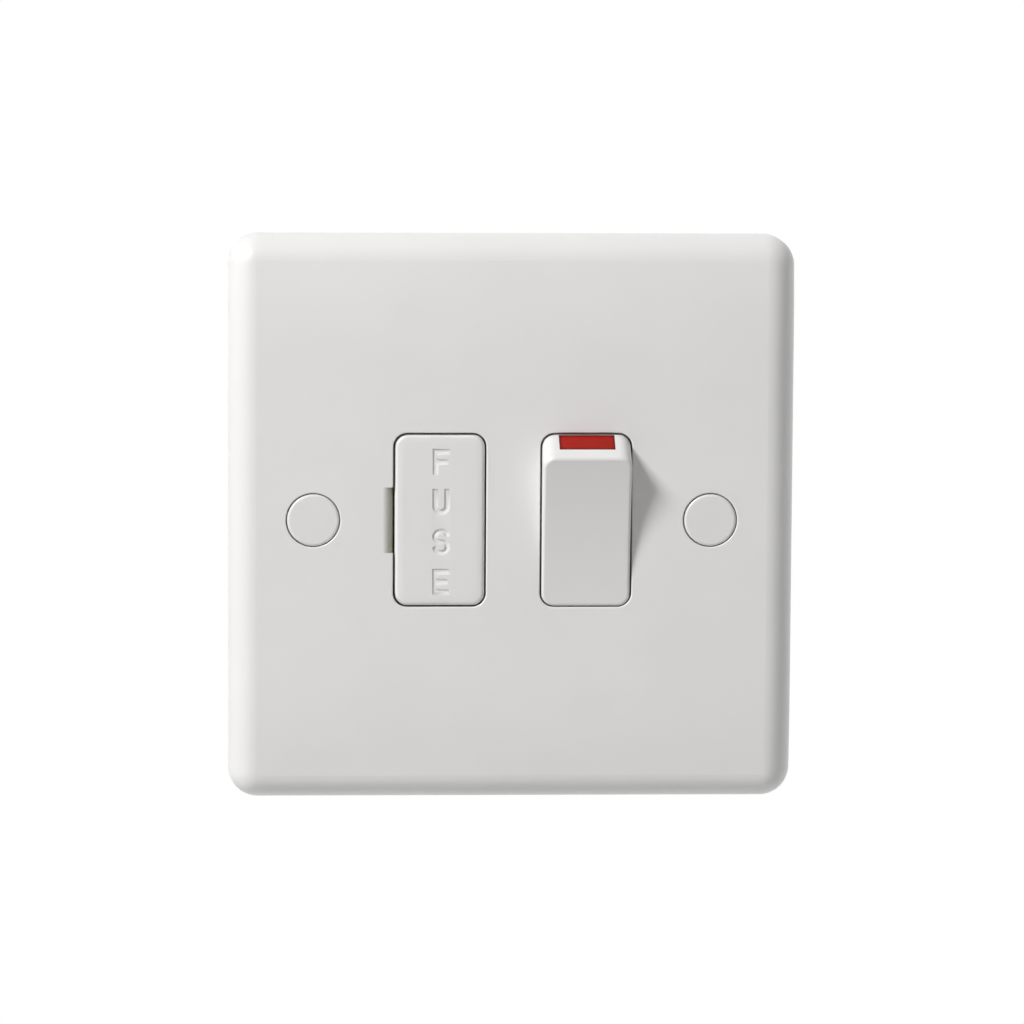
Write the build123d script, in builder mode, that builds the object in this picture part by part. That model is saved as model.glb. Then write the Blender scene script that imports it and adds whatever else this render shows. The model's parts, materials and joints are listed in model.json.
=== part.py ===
from build123d import *
from math import asin, atan2, cos, degrees, hypot, radians, sin, sqrt
import os

# Single-gang fused connection unit: a moulded plate with a pull-out fuse carrier and a double-pole rocker.
# X runs to the right seen from the front, Z runs up and the front faces -Y.
# The wall is the plane y = 0 and the origin lies midway between the two fixing holes.
# A "front" size is a distance before the wall plane, and a "back" size is a distance behind it.

# Front plate
plate_width = 86.0
plate_height = 86.0
plate_depth = 9.0
plate_wall = 2.3
plate_corner = 4.5
plate_edge = 4.2
crown_flat = 26.0
crown_radius = 110.0
window_round = 0.2

# Fixing holes and their clip-in caps
fixing_centres = 60.3
fixing_hole = 4.0
fixing_land = 2.6
boss_wall = 2.2
cap_diameter = 8.0
cap_gap = 0.12
cap_face = 1.4
cap_depth = 4.6
cap_wall = 0.9
cap_edge = 0.45
cap_slit = 1.0

# Fuse carrier
carrier_x = -10.97
carrier_width = 13.65
carrier_height = 26.1
carrier_gap = 0.24
carrier_corner = 1.9
carrier_edge = 0.55
carrier_face = 2.4
carrier_skirt = 2.2
carrier_wall = 1.2
carrier_travel = 20.0
runner_width = 8.4
runner_inset = 0.1
runner_gap = 0.5
barb_depth = 1.1
barb_length = 1.6
barb_gap = 0.2
barb_clearance = 0.3

# Finger notch beside the carrier
notch_width = 1.55
notch_height = 10.0
notch_round = 1.5

# Cartridge fuse, 25.4 mm long
fuse_length = 25.4
fuse_diameter = 6.35
fuse_cap_length = 5.4
fuse_cap_wall = 0.18
fuse_cap_end = 0.5
fuse_cap_edge = 0.35
fuse_back = 0.6
fuse_fit = 0.02
saddle_height = 9.0
saddle_wall = 1.3
saddle_grip = 0.06
saddle_mouth = 5.2
saddle_wrap = 2.2
clip_gap = 0.15
clip_sheet = 0.6
clip_height = 4.4
clip_flare = 0.5
clip_flare_length = 1.2
clip_lead = 0.2

# Rocker, with sizes given in its level position, about its pivot
rocker_x = 11.25
rocker_width = 13.45
rocker_gap = 0.25
rocker_end_gap = 0.24
rocker_swing = 11.1
pivot_depth = 5.8
ridge_height = 11.7
ridge_front = 2.4
rocker_dish = 0.8
toe_front = -2.8
toe_gap = 0.14
toe_corner = 1.9
rocker_edge = 0.5
rocker_wall = 1.6
rocker_tail = 1.6
stub_diameter = 3.0
stub_length = 1.6
stub_fit = 0.05
stub_gap = 0.2
finger_gap = 0.1
finger_inset = 0.2
relief_gap = 0.45
window_land = 0.7

# Red flash let into the upper toe
flash_width = 8.4
flash_start = 0.39
flash_depth = 0.8
flash_fit = 0.03

# Switch poles: sprung plungers, see-saw contacts and their seats
pole_offset = 3.3
plunger_diameter = 2.8
plunger_reach = 12.0
plunger_length = 10.0
plunger_fit = 0.1
tube_wall = 0.8
tube_reach = 6.6
spring_wall = 0.35
contact_width = 4.0
contact_sheet = 0.9
contact_lift = 0.9
contact_rise = 13.0
contact_tilt = 8.0
contact_arm = 6.6
contact_space = 2.7
knuckle_radius = 0.85
knuckle_fit = 0.06
contact_pad = 0.7
pad_height = 2.0
pad_setback = 0.2
strap_sheet = 0.8
seat_gap = 0.3
seat_lead = 0.2
seat_shoulder = 1.0

# Rear moulding, sized by what it holds
base_side_wall = 3.125
base_corner = 3.0
base_back = 19.0
base_gap = 0.2
base_edge = 0.8
chamber_back = 16.3
chamber_gap = 0.3
chamber_step = 0.05
barrier_width = 1.2
barrier_back = 2.0
panel_depth = 0.7
panel_height = 27.0
panel_margin = 3.4
panel_corner = 1.5

# Terminals, their screws and the earth link
terminal_spacing = 12.0
terminal_width = 7.6
terminal_height = 8.5
terminal_depth = 9.4
terminal_wall = 4.0
terminal_setback = 2.0
terminal_edge = 0.5
terminal_fit = 0.25
terminal_shelf = 8.0
wire_hole = 4.4
wire_depth = 7.0
wire_wall = 1.7
screw_shank = 3.4
screw_head = 5.2
screw_head_height = 1.3
screw_slot = 0.8
screw_fit = 0.05
screw_tip_gap = 0.1
link_width = 5.0
link_sheet = 0.8
link_lap = 1.2

# Screws that hold the rear moulding to the plate
post_side_inset = 3.4
post_end_inset = 4.0
post_diameter = 6.2
post_front = 4.5
well_diameter = 5.0
well_fit = 0.2
base_shank = 2.6
base_shank_fit = 0.2
base_bite = 2.6
post_fit = 0.02
base_head = 4.6
base_head_height = 1.8
base_cross = 3.2
base_tip_gap = 0.3

# Levels worked out from the sizes above
underside = plate_depth - plate_wall
base_front = underside - base_gap
pivot_y = pivot_depth - plate_depth
carrier_window = (carrier_width + 2 * carrier_gap, carrier_height + 2 * carrier_gap)
ridge_lift = ridge_front + pivot_depth
ridge_reach = hypot(ridge_height, ridge_lift)
ridge_angle = degrees(atan2(ridge_lift, ridge_height))
window_half = ridge_reach * cos(radians(ridge_angle - rocker_swing)) + rocker_end_gap
rocker_window = (rocker_width + 2 * rocker_gap, 2 * window_half)
toe_lift = toe_front + pivot_depth
toe_reach = hypot(window_half - toe_gap, pivot_depth - window_land)
toe_height = sqrt(toe_reach**2 - toe_lift**2)
toe_run = toe_height - ridge_height
chamber_width = rocker_window[0] + 2 * chamber_step
chamber_half = toe_reach + relief_gap
tail_height = sqrt(toe_reach**2 - rocker_tail**2)
bearing_reach = chamber_width / 2 + stub_length
base_width = 2 * (rocker_x + bearing_reach + base_side_wall)
terminal_inner = chamber_half + terminal_wall
base_height = 2 * (terminal_inner + terminal_height + terminal_setback)
post_x = base_width / 2 - post_side_inset
post_z = base_height / 2 - post_end_inset
terminal_back = terminal_shelf + terminal_depth
terminal_z = terminal_inner + terminal_height / 2
fulcrum_y = pivot_y + plunger_reach - plunger_diameter / 2 + contact_space
poles = {"live": rocker_x - pole_offset, "neutral": rocker_x + pole_offset}


def front(distance):
    """A plane parallel to the wall, with X to the right, Z up and its normal to the front."""
    return Plane.XZ.offset(distance)


def across(x):
    """A plane square to X, with +Y (to the back) as its first axis and +Z as its second."""
    return Plane.YZ.offset(x)


def plate_form(inset):
    """The plate's moulded form, or the hollow behind it when it is inset by the wall."""
    face = plate_depth - inset
    half_height = plate_height / 2 - inset
    roll_radius = crown_radius - inset
    roll = degrees(asin((half_height - crown_flat) / roll_radius))
    corner = max(plate_corner - inset, 0.6)
    with BuildPart() as form:
        with BuildSketch(Plane.YZ):
            with BuildLine():
                flat = Line((-face, 0), (-face, crown_flat))
                crown = JernArc(flat @ 1, flat % 1, roll_radius, -roll)
                Polyline(crown @ 1, (0, half_height), (0, 0))
                mirror(about=Plane.XZ)
            make_face()
        extrude(amount=plate_width / 2 - inset, both=True)
        fillet(form.edges().filter_by(Axis.Y), corner)
        fronts = form.faces().filter_by(lambda f: f.normal_at().Y < -0.9)
        seams = fronts.edges().filter_by(Axis.X).filter_by_position(Axis.Z, -crown_flat, crown_flat)
        rim = fronts.edges() - seams
        fillet(rim, min(max(plate_edge - inset, 0.5), corner - 0.1))
    return form.part


# Front plate: a hollow moulding with two windows, two screw bosses and seats for the rear moulding
with BuildPart() as front_plate:
    add(plate_form(0))
    add(plate_form(plate_wall), mode=Mode.SUBTRACT)
    recess_radius = cap_diameter / 2 + cap_gap
    with BuildSketch(front(0)):
        with GridLocations(fixing_centres, 0, 2, 1):
            Circle(recess_radius + boss_wall)
    extrude(amount=plate_depth - plate_wall / 2)
    with BuildSketch(front(post_front)):
        with GridLocations(2 * post_x, 2 * post_z, 2, 2):
            Circle(post_diameter / 2)
    extrude(amount=plate_wall / 2 + underside - post_front)
    finger = chamber_width / 2 + stub_length / 2
    finger_tip = stub_diameter / 2 + finger_gap - pivot_y
    with BuildSketch(front(finger_tip)):
        with Locations((rocker_x - finger, 0), (rocker_x + finger, 0)):
            Rectangle(stub_length - 2 * finger_inset, stub_diameter - 2 * finger_inset)
    extrude(amount=plate_depth - plate_wall / 2 - finger_tip)
    with BuildSketch(front(plate_depth)):
        with Locations((carrier_x, 0)):
            RectangleRounded(*carrier_window, carrier_corner + carrier_gap)
        with Locations((rocker_x, 0)):
            RectangleRounded(*rocker_window, toe_corner + rocker_gap)
    extrude(amount=-plate_wall, mode=Mode.SUBTRACT)
    with Locations(front(plate_depth)):
        with GridLocations(fixing_centres, 0, 2, 1):
            CounterBoreHole(fixing_hole / 2, recess_radius, plate_depth - fixing_land)
    face_holes = front_plate.faces().filter_by(Axis.Y).sort_by(Axis.Y)[0].inner_wires()
    fillet(face_holes.edges(), window_round)
    with BuildSketch(across(rocker_x)):
        with Locations((pivot_y, 0)):
            Circle(chamber_half)
        with Locations((window_land - plate_depth, 0)):
            Rectangle(4 * toe_reach, 4 * toe_reach, align=(Align.MAX, Align.CENTER), mode=Mode.SUBTRACT)
    extrude(amount=rocker_window[0] / 2, both=True, mode=Mode.SUBTRACT)
    notch_x = carrier_x - carrier_window[0] / 2 - notch_width
    with BuildSketch(Plane.XY):
        with Locations((notch_x, notch_round - plate_depth)):
            Rectangle(notch_width + 1, 2 * notch_round, align=(Align.MIN, Align.MAX))
            Circle(notch_round, mode=Mode.SUBTRACT)
    extrude(amount=notch_height / 2, both=True, mode=Mode.SUBTRACT)
    with Locations(Plane.XZ.offset(post_front).rotated((180, 0, 0))):
        with GridLocations(2 * post_x, 2 * post_z, 2, 2):
            Hole(base_shank / 2 + post_fit, depth=base_bite + base_tip_gap)
front_plate.part.label = "front_plate"

# Rear moulding: one block with a fuse chamber, a switch chamber and six terminal stalls
with BuildPart() as rear_base:
    with BuildSketch(front(base_front)):
        RectangleRounded(base_width, base_height, base_corner)
    extrude(amount=-base_front - base_back)
    back_rim = rear_base.faces().sort_by(Axis.Y)[-1].edges()
    chamfer(back_rim, base_edge)
    with BuildSketch(front(base_front)):
        with Locations((carrier_x, 0)):
            Rectangle(carrier_window[0] + 2 * chamber_step, carrier_window[1] + 2 * chamber_gap)
            Rectangle(carrier_window[0] + 2 * (barb_depth + barb_gap), runner_width + 2 * runner_gap)
        with Locations((rocker_x, 0)):
            Rectangle(chamber_width, 2 * chamber_half)
    extrude(amount=-base_front - chamber_back, mode=Mode.SUBTRACT)
    with BuildSketch(front(-barrier_back)):
        with Locations((rocker_x, 0)):
            Rectangle(barrier_width, 2 * chamber_half + 1)
    extrude(amount=barrier_back - chamber_back - 0.5)
    with BuildSketch(across(rocker_x)):
        with Locations((pivot_y, 0)):
            Circle(stub_diameter / 2 + stub_fit)
            Rectangle(2 * plate_depth, stub_diameter + 2 * stub_fit, align=(Align.MAX, Align.CENTER))
    extrude(amount=bearing_reach, both=True, mode=Mode.SUBTRACT)
    stall_height = base_height / 2 - terminal_inner + 1
    with BuildSketch(front(-base_back)):
        for side in (1, -1):
            with Locations((0, side * (terminal_inner + stall_height / 2))):
                with GridLocations(terminal_spacing, 0, 3, 1):
                    Rectangle(terminal_width + 2 * terminal_fit, stall_height)
    extrude(amount=base_back - terminal_shelf, mode=Mode.SUBTRACT)
    with BuildSketch(front(-base_back)):
        Rectangle(link_width + 2 * terminal_fit, 2 * terminal_inner + 1)
    extrude(amount=base_back - terminal_back, mode=Mode.SUBTRACT)
    panel_width = (base_width - link_width) / 2 - 2 * panel_margin
    with BuildSketch(front(-base_back)):
        with GridLocations(panel_width + link_width + 2 * panel_margin, 0, 2, 1):
            RectangleRounded(panel_width, panel_height, panel_corner)
    extrude(amount=panel_depth, mode=Mode.SUBTRACT)
    with BuildSketch(front(base_front)):
        with GridLocations(2 * post_x, 2 * post_z, 2, 2):
            Circle(post_diameter / 2 + well_fit)
    extrude(amount=post_front - base_front, mode=Mode.SUBTRACT)
    with Locations(Plane.XZ.offset(-base_back).rotated((180, 0, 0))):
        with GridLocations(2 * post_x, 2 * post_z, 2, 2):
            CounterBoreHole(base_shank / 2 + base_shank_fit, well_diameter / 2, base_back)
rear_base.part.label = "rear_base"


def screw_cap(x):
    """A round cap with four sprung fingers, flush in the recess over a fixing screw."""
    radius = cap_diameter / 2
    with BuildPart() as cap:
        with BuildSketch(Plane(origin=(x, 0, 0), x_dir=(1, 0, 0), z_dir=(0, 0, 1))):
            with BuildLine():
                Polyline(
                    (0, -plate_depth),
                    (radius, -plate_depth),
                    (radius, cap_depth - plate_depth),
                    (radius - cap_wall, cap_depth - plate_depth),
                    (radius - cap_wall, cap_face - plate_depth),
                    (0, cap_face - plate_depth),
                    close=True,
                )
            make_face()
        revolve(axis=Axis((x, 0, 0), (0, 1, 0)))
        rim = cap.edges().filter_by(GeomType.CIRCLE).group_by(Axis.Y)[0]
        fillet(rim, cap_edge)
        with BuildSketch(front(plate_depth - cap_depth)):
            with Locations((x, 0)):
                Rectangle(cap_slit, cap_diameter + 1)
                Rectangle(cap_diameter + 1, cap_slit)
        extrude(amount=cap_depth - cap_face, mode=Mode.SUBTRACT)
    return cap.part


screw_cap_left = screw_cap(-fixing_centres / 2)
screw_cap_left.label = "screw_cap_left"
screw_cap_right = screw_cap(fixing_centres / 2)
screw_cap_right.label = "screw_cap_right"

# Fuse carrier: a pillowed face, a skirt, a snap saddle for the fuse and two barbed runners
runner_outer = carrier_width / 2 - runner_inset
runner_end = carrier_travel - underside + barb_length + barb_clearance
with BuildPart() as fuse_carrier:
    with BuildSketch(front(plate_depth)):
        with Locations((carrier_x, 0)):
            RectangleRounded(carrier_width, carrier_height, carrier_corner)
    extrude(amount=-carrier_face)
    fillet(fuse_carrier.faces().sort_by(Axis.Y)[0].edges(), carrier_edge)
    with BuildSketch(front(plate_depth - carrier_face)):
        with Locations((carrier_x, 0)):
            RectangleRounded(carrier_width, carrier_height, carrier_corner)
            RectangleRounded(
                carrier_width - 2 * carrier_wall,
                carrier_height - 2 * carrier_wall,
                max(carrier_corner - carrier_wall, 0.3),
                mode=Mode.SUBTRACT,
            )
    extrude(amount=-carrier_skirt)
    with BuildSketch(Plane.XY):
        with Locations((carrier_x, carrier_face - plate_depth)):
            saddle_width = fuse_diameter + 2 * saddle_wall
            saddle_tall = plate_depth - carrier_face + fuse_back + saddle_wrap
            Rectangle(saddle_width, saddle_tall, align=(Align.CENTER, Align.MIN))
        with Locations((carrier_x, fuse_back)):
            Circle(fuse_diameter / 2 - fuse_cap_wall + saddle_grip, mode=Mode.SUBTRACT)
            Rectangle(
                saddle_mouth, fuse_diameter, align=(Align.CENTER, Align.MIN), mode=Mode.SUBTRACT
            )
    extrude(amount=saddle_height / 2, both=True)
    for side in (1, -1):
        with BuildSketch(Plane.XY):
            outer = carrier_x + side * runner_outer
            with BuildLine():
                Polyline(
                    (outer, carrier_face - plate_depth),
                    (outer, runner_end - barb_length),
                    (outer + side * barb_depth, runner_end - barb_length),
                    (outer, runner_end),
                    (outer - side * carrier_wall, runner_end),
                    (outer - side * carrier_wall, carrier_face - plate_depth),
                    close=True,
                )
            make_face()
        extrude(amount=runner_width / 2, both=True)
fuse_carrier.part.label = "fuse_carrier"

# Cartridge fuse: a ceramic tube in two drawn caps, held by the saddle
fuse_line = Plane(origin=(carrier_x, fuse_back, 0), x_dir=(1, 0, 0), z_dir=(0, 0, 1))
tube_radius = fuse_diameter / 2 - fuse_cap_wall - fuse_fit
with BuildPart() as fuse_tube:
    with BuildSketch(fuse_line):
        Circle(tube_radius)
    extrude(amount=fuse_length / 2 - fuse_cap_end, both=True)
fuse_tube.part.label = "fuse_tube"


def fuse_cap(side):
    """A drawn cap over one end of the fuse."""
    with BuildPart() as cap:
        with BuildSketch(fuse_line.offset(side * fuse_length / 2)):
            Circle(fuse_diameter / 2)
        extrude(amount=-side * fuse_cap_length)
        end_rim = cap.edges().filter_by(GeomType.CIRCLE).sort_by(Axis.Z)[-1 if side > 0 else 0]
        fillet(end_rim, fuse_cap_edge)
        with BuildSketch(fuse_line.offset(side * (fuse_length / 2 - fuse_cap_length))):
            Circle(fuse_diameter / 2 - fuse_cap_wall)
        extrude(amount=side * (fuse_cap_length - fuse_cap_end), mode=Mode.SUBTRACT)
    return cap.part


fuse_cap_top = fuse_cap(1)
fuse_cap_top.label = "fuse_cap_top"
fuse_cap_bottom = fuse_cap(-1)
fuse_cap_bottom.label = "fuse_cap_bottom"


def fuse_clip(side):
    """A folded spring clip whose two legs stand beside one fuse cap."""
    inner = fuse_diameter / 2 + clip_gap
    outer = inner + clip_sheet
    mouth = fuse_back - fuse_diameter / 2 - clip_lead
    middle = side * (fuse_length / 2 - fuse_cap_length / 2)
    with BuildPart() as clip:
        with BuildSketch(Plane.XY.offset(middle)):
            with BuildLine():
                Polyline(
                    (carrier_x, chamber_back),
                    (carrier_x + outer, chamber_back),
                    (carrier_x + outer, mouth),
                    (carrier_x + outer + clip_flare, mouth - clip_flare_length),
                    (carrier_x + inner + clip_flare, mouth - clip_flare_length),
                    (carrier_x + inner, mouth),
                    (carrier_x + inner, chamber_back - clip_sheet),
                    (carrier_x, chamber_back - clip_sheet),
                )
                mirror(about=Plane.YZ.offset(carrier_x))
            make_face()
        extrude(amount=clip_height / 2, both=True)
    return clip.part


fuse_clip_top = fuse_clip(1)
fuse_clip_top.label = "fuse_clip_top"
fuse_clip_bottom = fuse_clip(-1)
fuse_clip_bottom.label = "fuse_clip_bottom"

# Rocker: drawn about its pivot on planes tipped by half the swing, so that it stands switched on
lean = radians(rocker_swing)
rocker_side = Plane(origin=(rocker_x, pivot_y, 0), x_dir=(0, cos(lean), sin(lean)), z_dir=(1, 0, 0))
rocker_axis = Plane(origin=(rocker_x, pivot_y, 0), x_dir=(1, 0, 0), z_dir=(0, cos(lean), sin(lean)))


def rocker_form(inset):
    """The rocker's outside, or its hollow when it is inset by the wall: a loft cut back to the dished face."""
    slope = toe_run / (ridge_lift - toe_lift)
    crest = inset - ridge_lift
    levels = ((-ridge_lift - 1, ridge_height - slope), (-toe_lift, toe_height), (rocker_tail, tail_height))
    with BuildPart() as form:
        for depth, height in levels:
            with BuildSketch(rocker_axis.offset(depth)):
                corner = max(toe_corner - inset, 0.3)
                RectangleRounded(rocker_width - 2 * inset, 2 * (height - inset), corner)
        loft(ruled=True)
        with BuildSketch(rocker_side):
            with BuildLine():
                dish = ThreePointArc((crest, -ridge_height), (crest + rocker_dish, 0), (crest, ridge_height))
                Polyline(
                    dish @ 1,
                    (crest, 2 * ridge_height),
                    (-2 * ridge_lift, 2 * ridge_height),
                    (-2 * ridge_lift, -2 * ridge_height),
                    (crest, -2 * ridge_height),
                    dish @ 0,
                )
            make_face()
        extrude(amount=rocker_width, both=True, mode=Mode.SUBTRACT)
    return form.part


def flash_outline(fit):
    """Side outline of the flash in the upper toe, or of its pocket when it has a fit."""
    ridge = Vector(-ridge_lift, ridge_height)
    toe = Vector(-toe_lift, toe_height)
    along = (toe - ridge).normalized()
    inward = Vector(along.Y, -along.X)
    first = ridge + (toe - ridge) * flash_start - along * fit
    last = toe + along * fit
    inner = inward * (flash_depth + fit)
    outer = inward * -fit
    return [first + outer, last + outer, last + inner, first + inner]


with BuildPart() as rocker:
    add(rocker_form(0))
    face_edges = rocker.faces().filter_by(GeomType.CYLINDER).edges()
    fillet(face_edges, rocker_edge)
    add(rocker_form(rocker_wall), mode=Mode.SUBTRACT)
    tube_radius = plunger_diameter / 2 + plunger_fit + tube_wall
    tube_root = rocker_dish + rocker_wall / 2 - ridge_lift
    with BuildSketch(rocker_axis.offset(tube_root)):
        with GridLocations(2 * pole_offset, 0, 2, 1):
            Circle(tube_radius)
    extrude(amount=tube_reach - tube_root)
    with BuildSketch(rocker_axis.offset(tube_reach)):
        with GridLocations(2 * pole_offset, 0, 2, 1):
            Circle(plunger_diameter / 2 + plunger_fit)
    extrude(amount=tube_root + rocker_wall / 2 - tube_reach, mode=Mode.SUBTRACT)
    stub_end = bearing_reach - stub_gap
    for side in (1, -1):
        with BuildSketch(across(rocker_x + side * stub_end)):
            with Locations((pivot_y, 0)):
                Circle(stub_diameter / 2)
        extrude(amount=side * (rocker_width / 2 - rocker_wall / 2 - stub_end))
    with BuildSketch(rocker_side):
        Polygon(*flash_outline(flash_fit), align=None)
    extrude(amount=flash_width / 2 + flash_fit, both=True, mode=Mode.SUBTRACT)
rocker.part.label = "rocker"

with BuildPart() as rocker_flash:
    with BuildSketch(rocker_side):
        Polygon(*flash_outline(0), align=None)
    extrude(amount=flash_width / 2, both=True)
rocker_flash.part.label = "rocker_flash"


def plunger(offset):
    """A round-ended plunger in its tube behind the rocker."""
    with BuildPart() as pin:
        with BuildSketch(rocker_axis.offset(plunger_reach)):
            with Locations((offset, 0)):
                Circle(plunger_diameter / 2)
        extrude(amount=-plunger_length)
        fillet(pin.edges().filter_by(GeomType.CIRCLE).sort_by(Axis.Y)[-1], plunger_diameter / 2 - 0.05)
    return pin.part


def plunger_spring(offset):
    """The space of the coil that presses a plunger, as a sleeve."""
    root = rocker_dish + rocker_wall - ridge_lift
    with BuildPart() as coil:
        with BuildSketch(rocker_axis.offset(root)):
            with Locations((offset, 0)):
                Circle(plunger_diameter / 2)
                Circle(plunger_diameter / 2 - spring_wall, mode=Mode.SUBTRACT)
        extrude(amount=plunger_reach - plunger_length - root)
    return coil.part


tilt = radians(contact_tilt)
rise = radians(contact_rise)


def pad_spot():
    """Middle of the pad's root on the back of the upper arm, in the contact's own plane."""
    along = contact_arm - pad_height / 2 - pad_setback
    root = contact_sheet / cos(rise) - contact_lift
    return (root - along * sin(rise) - 0.01, along * cos(rise))


def moving_contact(x):
    """A see-saw contact: a shallow V strip with a knuckle at its middle and a pad on its upper arm."""
    side_plane = Plane(origin=(x, fulcrum_y, 0), x_dir=(0, cos(tilt), -sin(tilt)), z_dir=(1, 0, 0))
    sheet = contact_sheet / cos(rise)
    reach = contact_arm * cos(rise)
    lift = contact_arm * sin(rise)
    with BuildPart() as strip:
        with BuildSketch(side_plane):
            with BuildLine():
                Polyline(
                    (-contact_lift, 0),
                    (-contact_lift - lift, reach),
                    (sheet - contact_lift - lift, reach),
                    (sheet - contact_lift, 0),
                )
                mirror(about=Plane.XZ)
            make_face()
            Circle(knuckle_radius)
            with Locations(Location(pad_spot(), contact_rise)):
                Rectangle(contact_pad, pad_height, align=(Align.MIN, Align.CENTER))
        extrude(amount=contact_width / 2, both=True)
    return strip.part


def fixed_contact(x):
    """The contact that the upper pad closes on, a post with a foot along the chamber's floor."""
    back, up = pad_spot()
    face_y = fulcrum_y + (back + contact_pad) * cos(tilt) + up * sin(tilt) + seat_gap
    middle = up * cos(tilt) - back * sin(tilt)
    with BuildPart() as post:
        with BuildSketch(across(x)):
            with BuildLine():
                Polyline(
                    (face_y, middle - pad_height / 2),
                    (chamber_back, middle - pad_height / 2),
                    (chamber_back, toe_reach),
                    (chamber_back - strap_sheet, toe_reach),
                    (chamber_back - strap_sheet, middle + pad_height / 2),
                    (face_y, middle + pad_height / 2),
                    close=True,
                )
            make_face()
        extrude(amount=contact_width / 2, both=True)
    return post.part


def fulcrum(x):
    """The grooved seat under a see-saw contact, with a foot along the chamber's floor."""
    front_y = fulcrum_y + seat_lead
    half = knuckle_radius + seat_shoulder
    with BuildPart() as seat:
        with BuildSketch(across(x)):
            with BuildLine():
                Polyline(
                    (front_y, half),
                    (chamber_back, half),
                    (chamber_back, -toe_reach),
                    (chamber_back - strap_sheet, -toe_reach),
                    (chamber_back - strap_sheet, -half),
                    (front_y, -half),
                    close=True,
                )
            make_face()
            with Locations((fulcrum_y, 0)):
                Circle(knuckle_radius + knuckle_fit, mode=Mode.SUBTRACT)
        extrude(amount=contact_width / 2, both=True)
    return seat.part


def terminal(x, side):
    """A brass block with a blind wire hole in its outer end and a screw hole in its back."""
    outer_end = Plane(
        origin=(x, terminal_shelf + wire_wall + wire_hole / 2, side * (terminal_inner + terminal_height)),
        x_dir=(1, 0, 0),
        z_dir=(0, 0, side),
    )
    back_face = Plane(origin=(x, terminal_back, side * terminal_z), x_dir=(1, 0, 0), z_dir=(0, 1, 0))
    with BuildPart() as block:
        with BuildSketch(back_face):
            Rectangle(terminal_width, terminal_height)
        extrude(amount=-terminal_depth)
        chamfer(block.edges().filter_by(Axis.Y), terminal_edge)
        with Locations(outer_end):
            Hole(wire_hole / 2, depth=wire_depth)
        with Locations(back_face):
            Hole(screw_shank / 2 + screw_fit, depth=terminal_depth - wire_wall - wire_hole / 2)
    return block.part


with BuildPart() as terminal_screws:
    with BuildSketch(front(-terminal_back)):
        with GridLocations(terminal_spacing, 2 * terminal_z, 3, 2):
            Circle(screw_head / 2)
    extrude(amount=-screw_head_height)
    with BuildSketch(front(-terminal_back)):
        with GridLocations(terminal_spacing, 2 * terminal_z, 3, 2):
            Circle(screw_shank / 2)
    extrude(amount=terminal_depth - wire_wall - wire_hole - screw_tip_gap)
    with BuildSketch(front(-terminal_back - screw_head_height)):
        with GridLocations(terminal_spacing, 2 * terminal_z, 3, 2):
            Rectangle(screw_head + 1, screw_slot)
    extrude(amount=screw_head_height / 2, mode=Mode.SUBTRACT)
terminal_screws.part.label = "terminal_screws"

with BuildPart() as earth_link:
    with BuildSketch(front(-terminal_back)):
        Rectangle(link_width, 2 * (terminal_inner + link_lap))
    extrude(amount=-link_sheet)
earth_link.part.label = "earth_link"

with BuildPart() as base_screws:
    with BuildSketch(front(0)):
        with GridLocations(2 * post_x, 2 * post_z, 2, 2):
            Circle(base_head / 2)
    extrude(amount=-base_head_height)
    with BuildSketch(front(0)):
        with GridLocations(2 * post_x, 2 * post_z, 2, 2):
            Circle(base_shank / 2)
    extrude(amount=post_front + base_bite)
    with BuildSketch(front(-base_head_height)):
        with GridLocations(2 * post_x, 2 * post_z, 2, 2):
            Rectangle(base_cross, screw_slot)
            Rectangle(screw_slot, base_cross)
    extrude(amount=base_head_height / 2, mode=Mode.SUBTRACT)
base_screws.part.label = "base_screws"

pieces = [
    front_plate.part,
    rear_base.part,
    screw_cap_left,
    screw_cap_right,
    fuse_carrier.part,
    fuse_tube.part,
    fuse_cap_top,
    fuse_cap_bottom,
    fuse_clip_top,
    fuse_clip_bottom,
    rocker.part,
    rocker_flash.part,
    terminal_screws.part,
    earth_link.part,
    base_screws.part,
]
for pole, x in poles.items():
    made = {
        "plunger": plunger(x - rocker_x),
        "plunger_spring": plunger_spring(x - rocker_x),
        "moving_contact": moving_contact(x),
        "fixed_contact": fixed_contact(x),
        "fulcrum": fulcrum(x),
    }
    for kind, piece in made.items():
        piece.label = f"{kind}_{pole}"
        pieces.append(piece)
for end, side in (("load", 1), ("feed", -1)):
    for wire, x in (("live", -terminal_spacing), ("earth", 0), ("neutral", terminal_spacing)):
        piece = terminal(x, side)
        piece.label = f"terminal_{end}_{wire}"
        pieces.append(piece)

os.makedirs("parts", exist_ok=True)
for piece in pieces:
    export_step(piece, f"parts/{piece.label}.step")
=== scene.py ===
import json
from math import atan2, cos, pi, radians, sin

import bmesh
import bpy
from bpy.props import FloatProperty, FloatVectorProperty, IntProperty, PointerProperty, StringProperty
from mathutils import Matrix, Vector
from mathutils.geometry import convex_hull_2d, intersect_point_line


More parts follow.
